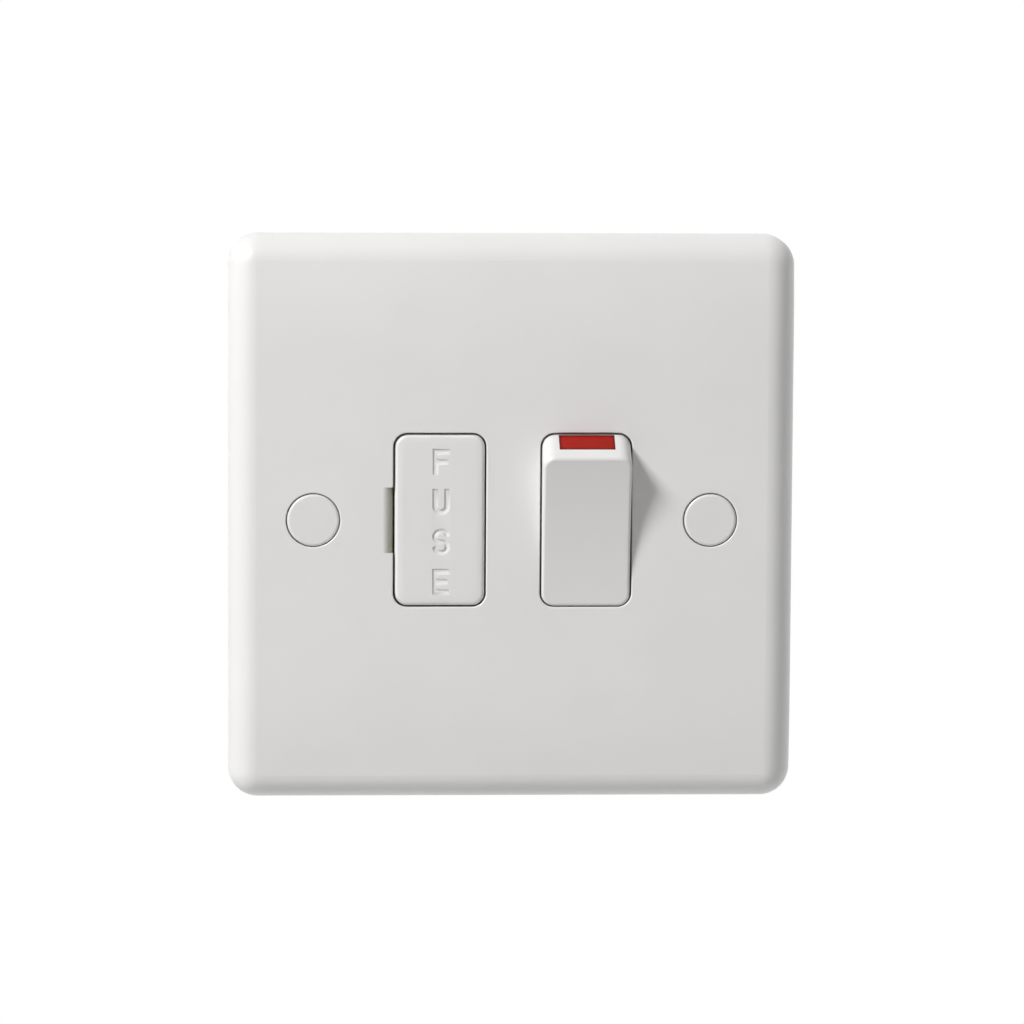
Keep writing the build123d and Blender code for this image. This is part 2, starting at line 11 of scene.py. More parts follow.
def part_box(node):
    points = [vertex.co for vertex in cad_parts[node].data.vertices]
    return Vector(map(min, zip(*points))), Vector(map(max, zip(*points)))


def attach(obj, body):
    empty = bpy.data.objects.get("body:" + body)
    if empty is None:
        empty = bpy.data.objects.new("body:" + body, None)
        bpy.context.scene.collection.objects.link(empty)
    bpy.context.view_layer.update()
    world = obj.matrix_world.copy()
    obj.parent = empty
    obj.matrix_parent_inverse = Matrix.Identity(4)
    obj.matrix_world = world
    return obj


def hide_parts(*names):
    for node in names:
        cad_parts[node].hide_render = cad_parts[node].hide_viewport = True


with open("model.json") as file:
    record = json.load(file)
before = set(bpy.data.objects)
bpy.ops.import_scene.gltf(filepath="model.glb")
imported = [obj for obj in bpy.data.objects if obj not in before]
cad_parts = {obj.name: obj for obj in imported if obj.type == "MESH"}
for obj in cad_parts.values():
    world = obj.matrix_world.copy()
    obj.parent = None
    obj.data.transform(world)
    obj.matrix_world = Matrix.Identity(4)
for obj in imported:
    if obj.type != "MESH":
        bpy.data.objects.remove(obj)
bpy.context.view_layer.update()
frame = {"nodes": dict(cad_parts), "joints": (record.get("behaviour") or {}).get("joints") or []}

bl_info = {
    "name": "Fused Connection Unit",
    "version": (1, 0, 0),
    "blender": (4, 5, 0),
    "location": "View3D > Sidebar > Spur Unit",
    "description": "Finishes, sunk lettering, fine fittings and a small studio for a fused connection unit",
    "category": "Object",
}

MM = 0.001
ON_PLANE = 1e-6  # metres within which a point counts as lying in a face
POLES = ("live", "neutral")
WIRES = ("live", "earth", "neutral")
# how a letter's edge falls away: offset out of its outline in lips, and share of its depth
EDGE_PROFILE = ((0.5, 0.0), (0.3, 0.05), (0.12, 0.22), (-0.12, 0.74), (-0.3, 0.93), (-0.55, 1.0))
EASE_STEPS = (0.2, 0.42, 0.68, 1.0)  # where the carrier's eased border has its rows of points
CURVE_STEPS = 24
TURN_STEPS = 28
WIRE_SIDES = 10

nodes = frame["nodes"]
rocker_swing = next(row for row in frame["joints"] if row["name"] == "rocker_pivot")["range_deg"]
rocker_lean = radians(-rocker_swing[0]) / 2
plate_depth = -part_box("front_plate")[0][1]


def linear(hex_colour):
    """A hex sRGB colour as linear red, green, blue and alpha."""
    channels = [int(hex_colour[i : i + 2], 16) / 255 for i in (1, 3, 5)]
    return [c / 12.92 if c <= 0.04045 else ((c + 0.055) / 1.055) ** 2.4 for c in channels] + [1.0]


def colour_property(name, description, hex_colour):
    """A colour that the panel shows as a swatch."""
    return FloatVectorProperty(
        name=name, description=description, subtype="COLOR", size=4, min=0.0, max=1.0, default=linear(hex_colour)
    )


def length_property(name, description, millimetres, least=0.0):
    """A length, kept in metres."""
    return FloatProperty(
        name=name, description=description, unit="LENGTH", min=least, precision=5, default=millimetres * MM
    )


def angle_property(name, description, degrees):
    """An angle, kept in radians."""
    return FloatProperty(name=name, description=description, unit="ROTATION", default=radians(degrees))


def amount_property(name, description, amount):
    """A plain number that isn't negative."""
    return FloatProperty(name=name, description=description, min=0.0, default=amount)


class SpurColours(bpy.types.PropertyGroup):
    """What each material is tinted with"""

    plate: colour_property("Plate", "Urea moulding of the plate and its caps", "#E7E6E5")
    carrier: colour_property("Carrier", "White moulding of the fuse carrier", "#E7E6E4")
    rocker: colour_property("Rocker", "White moulding of the rocker", "#E3E2E0")
    flash: colour_property("Flash", "Red moulding let into the rocker's toe", "#9F1D13")
    rear: colour_property("Rear moulding", "Grey moulding behind the plate", "#B9BAB8")
    nylon: colour_property("Nylon", "Undyed moulding of the plungers", "#DED9CB")
    brass: colour_property("Brass", "Strip and bar of the live parts", "#CDA85C")
    nickel: colour_property("Nickel", "Plating of the fuse caps", "#C8C3BA")
    zinc: colour_property("Zinc", "Plating of the screws", "#C3C5C8")
    steel: colour_property("Steel", "Wire of the plunger springs", "#8F9093")
    ceramic: colour_property("Ceramic", "Tube of the fuse", "#E2DCCB")
    floor: colour_property("Floor", "Paint of the studio floor", "#DCDCDC")


class SpurLettering(bpy.types.PropertyGroup):
    """The word in the fuse carrier and the face round it"""

    word: StringProperty(name="Word", description="Letters sunk in the carrier, from the top down", default="FUSE")
    height: length_property("Height", "Height of one letter", 3.8)
    width: length_property("Width", "Width of one letter", 2.48)
    stroke: length_property("Stroke", "Width of a letter's strokes", 0.68)
    depth: length_property("Depth", "How far the letters are sunk", 0.19)
    lip: length_property("Lip", "Width over which a letter's edge falls away", 0.38)
    slant: length_property("Slant", "How far a letter's floor lies up and to the left of its mouth", 0.13)
    pitch: length_property("Pitch", "From one letter's top to the next", 6.1)
    left: length_property("Left edge", "Left edge of the column", -11.98, least=-1.0)
    top: length_property("Top edge", "Top of the first letter", 10.78, least=-1.0)
    ease: length_property("Ease", "Width over which the carrier's face eases towards its edges", 1.5)
    fall: length_property("Fall", "How far the carrier's face falls at its edges", 0.15)


class SpurFittings(bpy.types.PropertyGroup):
    """Sizes of the springs and screws"""

    wire: length_property("Spring wire", "Diameter of the plunger springs' wire", 0.35)
    turns: IntProperty(name="Spring turns", description="Turns of each plunger spring", min=3, default=9)
    base_head: length_property("Base screw head", "Diameter of the heads of the rear moulding's screws", 4.6)


class SpurStage(bpy.types.PropertyGroup):
    """The camera, the floor and the lights"""

    distance: length_property("Camera distance", "From the camera to the plate", 850.0)
    azimuth: angle_property("Azimuth", "Camera's turn to the right", -2.92)
    elevation: angle_property("Elevation", "Camera's height", 6.82)
    roll: angle_property("Roll", "Camera's roll", 0.33)
    lens: FloatProperty(name="Lens", description="Focal length in millimetres", min=1.0, default=195.97)
    aim: FloatVectorProperty(
        name="Aim", description="Where the lens points, to the right of and above the plate's middle",
        size=2, unit="LENGTH", default=(0.219 * MM, 0.725 * MM),
    )
    floor_drop: length_property("Floor", "How far the floor lies below the middle of the plate", 300.0)
    floor_reach: length_property("Floor reach", "From the middle of the floor to its sides", 900.0)
    floor_fade: length_property("Floor fade", "Distance at which the floor starts to fade into the white", 500.0)
    key: amount_property("Key", "Power of the key light, in watts", 15.4)
    key_distance: length_property("Key distance", "From the key light to the plate", 1200.0)
    key_width: length_property("Key width", "Diameter of the key light", 380.0)
    key_side: FloatVectorProperty(
        name="Key side", description="From the plate towards the key light", subtype="XYZ", default=(-1.33, -1.0, 1.3)
    )
    front_light: amount_property("Front light", "Light from the pale room in front", 0.16)
    card_light: amount_property("Card light", "Light from a white card behind on the right", 0.95)


class SpurUnit(bpy.types.PropertyGroup):
    """All the settings of the fused connection unit"""

    colours: PointerProperty(name="Colours", description="What each material is tinted with", type=SpurColours)
    lettering: PointerProperty(name="Lettering", description="The carrier's word and face", type=SpurLettering)
    fittings: PointerProperty(name="Fittings", description="Sizes of the springs and screws", type=SpurFittings)
    stage: PointerProperty(name="Stage", description="The camera, the floor and the lights", type=SpurStage)


def empty_tree(owner):
    """The shader tree of a material or a world, cleared."""
    owner.use_nodes = True
    owner.node_tree.nodes.clear()
    return owner.node_tree


def connect(tree, node, links):
    """Feeds a node's inputs from other nodes' outputs."""
    for key, output in links.items():
        tree.links.new(output, node.inputs[key])


def add_node(tree, kind, settings=None, links=None):
    """Adds one shader node, sets its properties and input values, and feeds its inputs from other nodes' outputs."""
    node = tree.nodes.new(kind)
    for key, value in (settings or {}).items():
        if isinstance(key, int) or key in node.inputs:
            node.inputs[key].default_value = value
        else:
            setattr(node, key, value)
    connect(tree, node, links or {})
    return node


def begin_material(name, colour, roughness, **constants):
    """An empty material with a Principled surface: its tree, its surface node and the piece's own coordinates."""
    material = bpy.data.materials.new(name)
    material.diffuse_color = colour
    tree = empty_tree(material)
    settings = {"Base Color": colour, "Roughness": roughness, **constants}
    surface = add_node(tree, "ShaderNodeBsdfPrincipled", settings)
    add_node(tree, "ShaderNodeOutputMaterial", links={"Surface": surface.outputs["BSDF"]})
    place = add_node(tree, "ShaderNodeTexCoord").outputs["Object"]
    return material, tree, surface, place


def shade(colour, factor):
    """A colour made lighter or darker."""
    return [min(c * factor, 1.0) for c in colour[:3]] + [1.0]


def tinted(colour, tint):
    """A colour whose red, green and blue are each held back."""
    return [c * t for c, t in zip(colour, tint)] + [1.0]


def noise(tree, place, size_mm, detail=2.0, **settings):
    """Noise whose lumps are size_mm across."""
    settings = {"Scale": 1 / (size_mm * MM), "Detail": detail, **settings}
    return add_node(tree, "ShaderNodeTexNoise", settings, {"Vector": place}).outputs["Fac"]


def spread(tree, value, low, high):
    """Noise stretched to run from low to high."""
    settings = {"From Min": 0.3, "From Max": 0.7, "To Min": low, "To Max": high}
    return add_node(tree, "ShaderNodeMapRange", settings, {"Value": value}).outputs["Result"]


def clouded(tree, place, colour, size_mm, detail, darkest, lightest, **settings):
    """A colour that wanders between two of its shades, in clouds size_mm across."""
    clouds = spread(tree, noise(tree, place, size_mm, detail, **settings), 0.0, 1.0)
    shades = {"data_type": "RGBA", 6: shade(colour, darkest), 7: shade(colour, lightest)}
    return add_node(tree, "ShaderNodeMix", shades, {0: clouds}).outputs[2]


def relief(tree, height, depth_mm, normal=None):
    """A bump of the given depth, over another normal where there is one."""
    links = {"Height": height}
    if normal:
        links["Normal"] = normal
    return add_node(tree, "ShaderNodeBump", {"Distance": depth_mm * MM}, links).outputs["Normal"]


def eased_edges(tree, radius_mm):
    """Edges that look broken by a small radius, as a moulding's or a stamping's are."""
    return add_node(tree, "ShaderNodeBevel", {"samples": 4, "Radius": radius_mm * MM}).outputs["Normal"]


def within_box(tree, place, low, high):
    """1 inside a box and 0 outside it."""
    middle, half = (low + high) / 2, (high - low) / 2
    away = add_node(tree, "ShaderNodeVectorMath", {"operation": "SUBTRACT", 1: middle}, {0: place}).outputs[0]
    away = add_node(tree, "ShaderNodeVectorMath", {"operation": "DIVIDE", 1: half}, {0: away}).outputs[0]
    away = add_node(tree, "ShaderNodeVectorMath", {"operation": "ABSOLUTE"}, {0: away}).outputs[0]
    part = add_node(tree, "ShaderNodeSeparateXYZ", links={0: away}).outputs
    widest = part["X"]
    for axis in ("Y", "Z"):
        widest = add_node(tree, "ShaderNodeMath", {"operation": "MAXIMUM"}, {0: widest, 1: part[axis]}).outputs[0]
    return add_node(tree, "ShaderNodeMath", {"operation": "LESS_THAN", 1: 1.0}, {0: widest}).outputs[0]


def painted_recess_shading(tree, place, clean, colour, box, axis, tint):
    """A colour with painted shade that deepens along one axis of a box, for a recess that falls into shade."""
    low, high = box
    along = add_node(tree, "ShaderNodeSeparateXYZ", links={0: place}).outputs[axis]
    span = {"From Min": low["XYZ".index(axis)], "From Max": high["XYZ".index(axis)]}
    amount = add_node(tree, "ShaderNodeMapRange", span, {"Value": along}).outputs["Result"]
    inside = within_box(tree, place, low, high)
    amount = add_node(tree, "ShaderNodeMath", {"operation": "MULTIPLY"}, {0: amount, 1: inside}).outputs[0]
    shade_tint = {"data_type": "RGBA", 7: tinted(colour, tint)}
    return add_node(tree, "ShaderNodeMix", shade_tint, {0: amount, 6: clean}).outputs[2]


def urea_moulding(name, colour, roughness=0.36, painted_recess_shade=None):
    """Compression-moulded urea: hard and satin, with a faint orange peel, soft flow clouds, painted shade in its joints
    and gaps and, where one is given, painted shade across a recess.
    """
    constants = {"IOR": 1.54, "Specular IOR Level": 0.4}
    material, tree, surface, place = begin_material(name, colour, roughness, **constants)
    open_colour = clouded(tree, place, colour, 14.0, 3.0, 0.985, 1.012)
    # painted shade across a recess, where one is given
    if painted_recess_shade:
        open_colour = painted_recess_shading(tree, place, open_colour, colour, *painted_recess_shade)
    # painted shade: darker and warmer where two mouldings stand close together, as in the gaps round the rocker and the
    # carrier, found by ambient occlusion
    near = {"samples": 6, "Distance": 0.42 * MM}
    openness = add_node(tree, "ShaderNodeAmbientOcclusion", near).outputs["AO"]
    openness = add_node(tree, "ShaderNodeMapRange", {"From Max": 0.42}, {"Value": openness}).outputs["Result"]
    painted_gap_shade = {"data_type": "RGBA", 6: tinted(colour, (0.5, 0.49, 0.4))}
    surface_colour = add_node(tree, "ShaderNodeMix", painted_gap_shade, {0: openness, 7: open_colour}).outputs[2]
    polish = spread(tree, noise(tree, place, 5.0, 3.0), roughness - 0.035, roughness + 0.035)
    peel = relief(tree, noise(tree, place, 1.3, 1.0), 0.006)
    grain = relief(tree, noise(tree, place, 0.22, 2.0), 0.0012, peel)
    connect(tree, surface, {"Base Color": surface_colour, "Roughness": polish, "Normal": grain})
    return material


def dyed_polycarbonate(name, colour):
    """Injection-moulded red polycarbonate: a deep, even red with little shine, darker within a short reach of its
    sides.
    """
    constants = {"IOR": 1.585, "Specular IOR Level": 0.12}
    material, tree, surface, place = begin_material(name, colour, 0.4, **constants)
    open_colour = clouded(tree, place, colour, 2.5, 3.0, 0.9, 1.08)
    # rays sent inwards end at the insert's own sides, so they find its rim
    rim = {"samples": 8, "inside": True, "only_local": True, "Distance": 0.65 * MM}
    depth = add_node(tree, "ShaderNodeAmbientOcclusion", rim).outputs["AO"]
    span = {"From Min": 0.5, "From Max": 0.95}
    depth = add_node(tree, "ShaderNodeMapRange", span, {"Value": depth}).outputs["Result"]
    # darker towards the insert's rim
    rim_darkening = {"data_type": "RGBA", 6: shade(colour, 0.3)}
    surface_colour = add_node(tree, "ShaderNodeMix", rim_darkening, {0: depth, 7: open_colour}).outputs[2]
    polish = spread(tree, noise(tree, place, 1.1), 0.34, 0.46)
    drag = relief(tree, noise(tree, place, 0.5, 2.0), 0.008)
    connect(tree, surface, {"Base Color": surface_colour, "Roughness": polish, "Normal": drag})
    return material


def sparked_moulding(name, colour):
    """Grey thermoset from a spark-eroded tool: an even matt grain with soft flow marks and softly rounded edges."""
    material, tree, surface, place = begin_material(name, colour, 0.58, IOR=1.53)
    flow = clouded(tree, place, colour, 9.0, 4.0, 0.93, 1.05, Distortion=0.8)
    polish = spread(tree, noise(tree, place, 0.9, 3.0), 0.5, 0.68)
    pits = {"Scale": 1 / (0.35 * MM), "feature": "SMOOTH_F1"}
    pits = add_node(tree, "ShaderNodeTexVoronoi", pits, {"Vector": place}).outputs["Distance"]
    grain = relief(tree, pits, 0.03, eased_edges(tree, 0.25))
    connect(tree, surface, {"Base Color": flow, "Roughness": polish, "Normal": grain})
    return material


def natural_nylon(name, colour):
    """Injection-moulded natural nylon: waxy and slightly clear, with drag lines from the tool."""
    constants = {"IOR": 1.53, "Subsurface Weight": 0.15, "Subsurface Scale": 1.0 * MM}
    material, tree, surface, place = begin_material(name, colour, 0.42, **constants)
    wax = clouded(tree, place, colour, 2.0, 3.0, 0.94, 1.03)
    drag = relief(tree, noise(tree, place, 0.4, 2.0), 0.01)
    connect(tree, surface, {"Base Color": wax, "Normal": drag})
    return material


def glazed_ceramic(name, colour):
    """Fired steatite tube: a dull glaze with pinholes and a faint kiln blush."""
    material, tree, surface, place = begin_material(name, colour, 0.3, IOR=1.6)
    blush = clouded(tree, place, colour, 3.5, 4.0, 0.9, 1.03)
    glaze = spread(tree, noise(tree, place, 0.8, 3.0), 0.22, 0.42)
    pinholes = relief(tree, noise(tree, place, 0.35, 3.0), 0.015)
    connect(tree, surface, {"Base Color": blush, "Roughness": glaze, "Normal": pinholes})
    return material


def worked_metal(name, colour, roughness, stretch, line_mm, tarnish):
    """A metal with fine lines along its working direction, a dulling film and edges that catch the light."""
    material, tree, surface, place = begin_material(name, colour, roughness, Metallic=1.0)
    along = add_node(tree, "ShaderNodeMapping", {"Scale": stretch}, {"Vector": place}).outputs["Vector"]
    lines = noise(tree, along, line_mm, 3.0)
    film = clouded(tree, place, colour, 4.0, 5.0, 1 - tarnish, 1.04)
    dulled = spread(tree, lines, roughness - 0.06, roughness + 0.08)
    scored = relief(tree, lines, 0.006, eased_edges(tree, 0.12))
    connect(tree, surface, {"Base Color": film, "Roughness": dulled, "Normal": scored})
    return material


def turned_zinc(name, colour, across, spacing, height):
    """Zinc-plated steel turned on a lathe: rings round each screw's own axis under a pale, faintly blue plating."""
    material, tree, surface, place = begin_material(name, colour, 0.3, Metallic=1.0)
    part = add_node(tree, "ShaderNodeSeparateXYZ", links={0: place}).outputs
    # the screws stand in columns a spacing apart, the same height above and below the middle
    column = {"operation": "WRAP", 1: across + spacing / 2, 2: across - spacing / 2}
    column = add_node(tree, "ShaderNodeMath", column, {0: part["X"]}).outputs[0]
    column = add_node(tree, "ShaderNodeMath", {"operation": "SUBTRACT", 1: across}, {0: column}).outputs[0]
    row = add_node(tree, "ShaderNodeMath", {"operation": "ABSOLUTE"}, {0: part["Z"]}).outputs[0]
    row = add_node(tree, "ShaderNodeMath", {"operation": "SUBTRACT", 1: height}, {0: row}).outputs[0]
    turned = add_node(tree, "ShaderNodeCombineXYZ", links={"X": column, "Z": row}).outputs[0]
    radius = add_node(tree, "ShaderNodeVectorMath", {"operation": "LENGTH"}, {0: turned}).outputs["Value"]
    rings = {"noise_dimensions": "1D", "Scale": 1 / (0.16 * MM), "Detail": 2.0}
    rings = add_node(tree, "ShaderNodeTexNoise", rings, {"W": radius}).outputs["Fac"]
    spangle = clouded(tree, place, colour, 0.7, 4.0, 0.84, 1.03)
    polish = spread(tree, noise(tree, place, 0.3, 3.0), 0.24, 0.42)
    scored = relief(tree, rings, 0.03, eased_edges(tree, 0.12))
    connect(tree, surface, {"Base Color": spangle, "Roughness": polish, "Normal": scored})
    return material


def dress(material, *names):
    """Gives CAD nodes a finish through their material slots."""
    for name in names:
        for slot in nodes[name].material_slots:
            slot.material = material


def add_object(name, data):
    """Puts one object into the scene."""
    thing = bpy.data.objects.new(name, data)
    bpy.context.scene.collection.objects.link(thing)
    return thing


def add_mesh(name, bm, material):
    """Puts a bmesh into the scene, in its finish."""
    mesh = bpy.data.meshes.new(name)
    bm.to_mesh(mesh)
    bm.free()
    mesh.materials.append(material)
    return add_object(name, mesh)


def new_piece(name, bm, material, body, replaced, degrees_sharp):
    """A piece that rides on a body in place of CAD nodes, smooth but where its faces meet steeply."""
    piece = add_mesh(name, bm, material)
    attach(piece, body)
    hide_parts(*replaced)
    piece.data.shade_smooth()
    piece.data.set_sharp_from_angle(angle=radians(degrees_sharp))
    # weighted by area, so that large flat faces stay flat
    weighted = piece.modifiers.new("face weights", "WEIGHTED_NORMAL")
    weighted.weight = 100
    weighted.keep_sharp = True


def offset_loop(points, distance):
    """A closed outline moved outwards, with mitred corners; the outline runs anticlockwise."""
    moved = []
    for i, point in enumerate(points):
        before = (point - points[i - 1]).normalized()
        after = (points[(i + 1) % len(points)] - point).normalized()
        out = Vector((before.y + after.y, -before.x - after.x))
        moved.append(point + out * 2 / out.length_squared * distance)
    return moved


def arc(centre, radius_x, radius_y, start, end, steps):
    """Points along an elliptical arc, with angles in degrees."""
    angles = [radians(start + (end - start) * i / steps) for i in range(steps + 1)]
    return [Vector((centre[0] + radius_x * cos(a), centre[1] + radius_y * sin(a))) for a in angles]


def round_ended(line, half):
    """Anticlockwise outline of a stroke of twice half's width along a line of points."""
    left, right = [], []
    for i, point in enumerate(line):
        run = (line[min(i + 1, len(line) - 1)] - line[max(i - 1, 0)]).normalized()
        side = Vector((-run.y, run.x)) * half
        left.append(point + side)
        right.append(point - side)
    caps = []
    for tip, before in ((line[-1], line[-2]), (line[0], line[1])):
        heading = atan2(tip.y - before.y, tip.x - before.x)
        angles = [heading + radians(30 * step) for step in range(-2, 3)]
        caps.append([tip + Vector((cos(a), sin(a))) * half for a in angles])
    return right + caps[0] + left[::-1] + caps[1]


def letter_outline(letter, width, height, stroke):
    """Anticlockwise outline of one plain block letter, with its lower left corner at the origin."""
    bar_top = (height + stroke) / 2
    bar_foot = bar_top - stroke
    bar_end = width - 0.35 * stroke
    arms = [
        (bar_end, bar_foot), (bar_end, bar_top), (stroke, bar_top),
        (stroke, height - stroke), (width, height - stroke), (width, height), (0, height),
    ]
    if letter == "F":
        return [Vector(c) for c in [(0, 0), (stroke, 0), (stroke, bar_foot)] + arms]
    if letter == "E":
        foot = [(0, 0), (width, 0), (width, stroke), (stroke, stroke), (stroke, bar_foot)]
        return [Vector(c) for c in foot + arms]
    if letter == "U":
        bend = width / 2
        outer = arc((bend, bend), bend, bend, 180, 360, CURVE_STEPS)
        inner = arc((bend, bend), bend - stroke, bend - stroke, 360, 180, CURVE_STEPS)
        right_top = [Vector((width, height)), Vector((width - stroke, height))]
        left_top = [Vector((stroke, height)), Vector((0, height))]
        return outer + right_top + inner + left_top
    if letter == "S":
        half = 0.4 * stroke
        bowl_x, bowl_y = width / 2 - half, height / 4 - half / 2
        upper = arc((width / 2, height - half - bowl_y), bowl_x, bowl_y, 18, 270, CURVE_STEPS - 2)
        lower = arc((width / 2, half + bowl_y), bowl_x, bowl_y, 90, -162, CURVE_STEPS - 2)
        return round_ended(upper + lower[1:], half)
    raise ValueError(f"no outline for the letter {letter}")


def fill_between(bm, loops):
    """Joins each loop of points to the next, which has as many, by a band of faces."""
    for first, second in zip(loops, loops[1:]):
        for i in range(len(first)):
            j = (i + 1) % len(first)
            bm.faces.new((first[i], first[j], second[j], second[i]))


def loop_edges(bm, loop):
    """The edges of a closed loop of points, made where they are missing."""
    edges = []
    for i, vert in enumerate(loop):
        other = loop[(i + 1) % len(loop)]
        edges.append(bm.edges.get((vert, other)) or bm.edges.new((vert, other)))
    return edges


class SPUR_OT_finish_plate(bpy.types.Operator):
    """Give the plate and its two screw caps their urea finish"""

    bl_idname = "spur.finish_plate"
    bl_label = "Finish plate and caps"

    def execute(self, context):
        colours = context.scene.spur_unit.colours
        face = Vector((0, -plate_depth, 0))
        # the finger notch, painted darker and warmer the nearer it comes to the carrier, as painted shade where its
        # scoop turns away from the light
        notch = [face + Vector(corner) * MM for corner in ((-19.6, -0.1, -5.02), (-18.0, 2.2, 5.02))]
        painted_recess_shade = (notch, "X", (0.51, 0.5, 0.35))
        dress(urea_moulding("urea_moulded_plate", list(colours.plate), painted_recess_shade=painted_recess_shade), "front_plate")
        caps = urea_moulding("urea_moulded_caps", shade(colours.plate, 0.97), 0.33)
        dress(caps, "screw_cap_left", "screw_cap_right")
        return {"FINISHED"}


class SPUR_OT_finish_rocker(bpy.types.Operator):
    """Give the rocker its white finish and its flash a red one"""

    bl_idname = "spur.finish_rocker"
    bl_label = "Finish rocker"

    def execute(self, context):
        colours = context.scene.spur_unit.colours
        dress(urea_moulding("urea_moulded_rocker", list(colours.rocker), 0.34), "rocker")
        dress(dyed_polycarbonate("polycarbonate_moulded_red", list(colours.flash)), "rocker_flash")
        return {"FINISHED"}


class SPUR_OT_build_fuse_carrier(bpy.types.Operator):
    """Build the fuse carrier with its word sunk in its face"""

    bl_idname = "spur.build_fuse_carrier"
    bl_label = "Build lettered fuse carrier"

    def execute(self, context):
        unit = context.scene.spur_unit
        lettering = unit.lettering
        face_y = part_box("fuse_carrier")[0].y
        bm = bmesh.new()
        bm.from_mesh(nodes["fuse_carrier"].data)
        bmesh.ops.remove_doubles(bm, verts=bm.verts, dist=ON_PLANE / 10)
        flat = [f for f in bm.faces if self.in_face(f, face_y)]
        if not flat:
            raise RuntimeError("the fuse carrier has no flat face for its letters")
        bmesh.ops.delete(bm, geom=flat, context="FACES")
        rim = self.walk([e for e in bm.edges if e.is_boundary and self.in_face(e, face_y)])
        face_edges = self.ease_face(bm, rim, face_y, lettering)
        for row, letter in enumerate(lettering.word):
            corner = Vector((lettering.left, lettering.top - row * lettering.pitch - lettering.height))
            face_edges += self.sink_letter(bm, letter, corner, face_y, lettering)
        bmesh.ops.triangle_fill(bm, use_beauty=True, edges=face_edges, normal=(0, -1, 0))
        bmesh.ops.recalc_face_normals(bm, faces=bm.faces)
        # the column of letters, painted darker towards their floors as shade in the sunk strokes; 1 m up and down takes
        # in the whole column
        right = lettering.left + lettering.width
        sunk = (
            Vector((lettering.left - lettering.lip, face_y + 0.02 * MM, -1.0)),
            Vector((right + lettering.lip, face_y + 0.8 * lettering.depth, 1.0)),
        )
        painted_recess_shade = (sunk, "Y", (0.92, 0.92, 0.9))
        material = urea_moulding("urea_moulded_carrier", list(unit.colours.carrier), 0.34, painted_recess_shade=painted_recess_shade)
        new_piece(
            "fuse_carrier_lettered", bm, material, "fuse_carrier", ["fuse_carrier"], degrees_sharp=38
        )
        return {"FINISHED"}

    def in_face(self, element, face_y):
        """Whether an edge or a face lies in the carrier's front."""
        return all(abs(v.co.y - face_y) < ON_PLANE for v in element.verts)

    def walk(self, edges):
        """The points of a closed loop of edges, in order and anticlockwise as seen from the front."""
        left = set(edges)
        loop = [edges[0].verts[0]]
        while left:
            edge = next(e for e in loop[-1].link_edges if e in left)
            left.remove(edge)
            loop.append(edge.other_vert(loop[-1]))
        loop.pop()
        turn = sum(a.co.x * b.co.z - b.co.x * a.co.z for a, b in zip(loop, loop[1:] + loop[:1]))
        return loop if turn > 0 else loop[::-1]

    def ease_face(self, bm, rim, face_y, lettering):
        """Lets the face fall away softly towards its edges, and gives the edges of what stays flat."""
        front = [v for v in bm.verts if v.co.y < face_y + lettering.ease]
        spots = [Vector((v.co.x, v.co.z)) for v in front]
        hull = [spots[i] for i in convex_hull_2d(spots)]

        def inside(spot):
            """How far a spot lies inside the carrier's outline."""
            feet = [intersect_point_line(spot, hull[i - 1], corner)[0] for i, corner in enumerate(hull)]
            return min((foot.to_2d() - spot).length for foot in feet)

        def fall(distance):
            """How far the face has fallen at a distance from its outline."""
            return lettering.fall * max(1 - distance / lettering.ease, 0.0) ** 2

        depths = {v: inside(spot) for v, spot in zip(front, spots)}
        wall = min(v.co.y for v, depth in depths.items() if depth < 10 * ON_PLANE)
        start = max(depths[v] for v in rim)
        path = [Vector((v.co.x, v.co.z)) for v in rim]
        for v, depth in depths.items():
            if v.co.y < wall + ON_PLANE:
                v.co.y += fall(depth)
        loops = [rim]
        for part in EASE_STEPS:
            step = (lettering.ease - start) * part
            y = face_y + fall(start + step)
            loops.append([bm.verts.new((p.x, y, p.y)) for p in offset_loop(path, -step)])
        fill_between(bm, loops)
        return loop_edges(bm, loops[-1])

    def sink_letter(self, bm, letter, corner, face_y, lettering):
        """Sinks one letter, given its lower left corner, and gives the edges of its mouth."""
        outline = letter_outline(letter, lettering.width, lettering.height, lettering.stroke)
        loops = []
        for out, down in EDGE_PROFILE:
            ring = offset_loop(outline, out * lettering.lip)
            shift = corner + Vector((-1, 1)) * down * lettering.slant
            y = face_y + down * lettering.depth
            loops.append([bm.verts.new((shift.x + p.x, y, shift.y + p.y)) for p in ring])
        fill_between(bm, loops)
        bmesh.ops.triangle_fill(bm, use_beauty=True, edges=loop_edges(bm, loops[-1]), normal=(0, -1, 0))
        return loop_edges(bm, loops[0])


class SPUR_OT_finish_fuse(bpy.types.Operator):
    """Finish the cartridge fuse and the clips that grip it"""

    bl_idname = "spur.finish_fuse"
    bl_label = "Finish fuse and clips"

    def execute(self, context):
        colours = context.scene.spur_unit.colours
        dress(glazed_ceramic("steatite_glazed_tube", list(colours.ceramic)), "fuse_tube")
        nickel = worked_metal("nickel_plated_drawn_caps", list(colours.nickel), 0.24, (1, 1, 0.05), 0.12, 0.12)
        dress(nickel, "fuse_cap_top", "fuse_cap_bottom")
        clips = worked_metal("brass_rolled_clips", list(colours.brass), 0.32, (1, 0.04, 1), 0.16, 0.2)
        dress(clips, "fuse_clip_top", "fuse_clip_bottom")
        return {"FINISHED"}


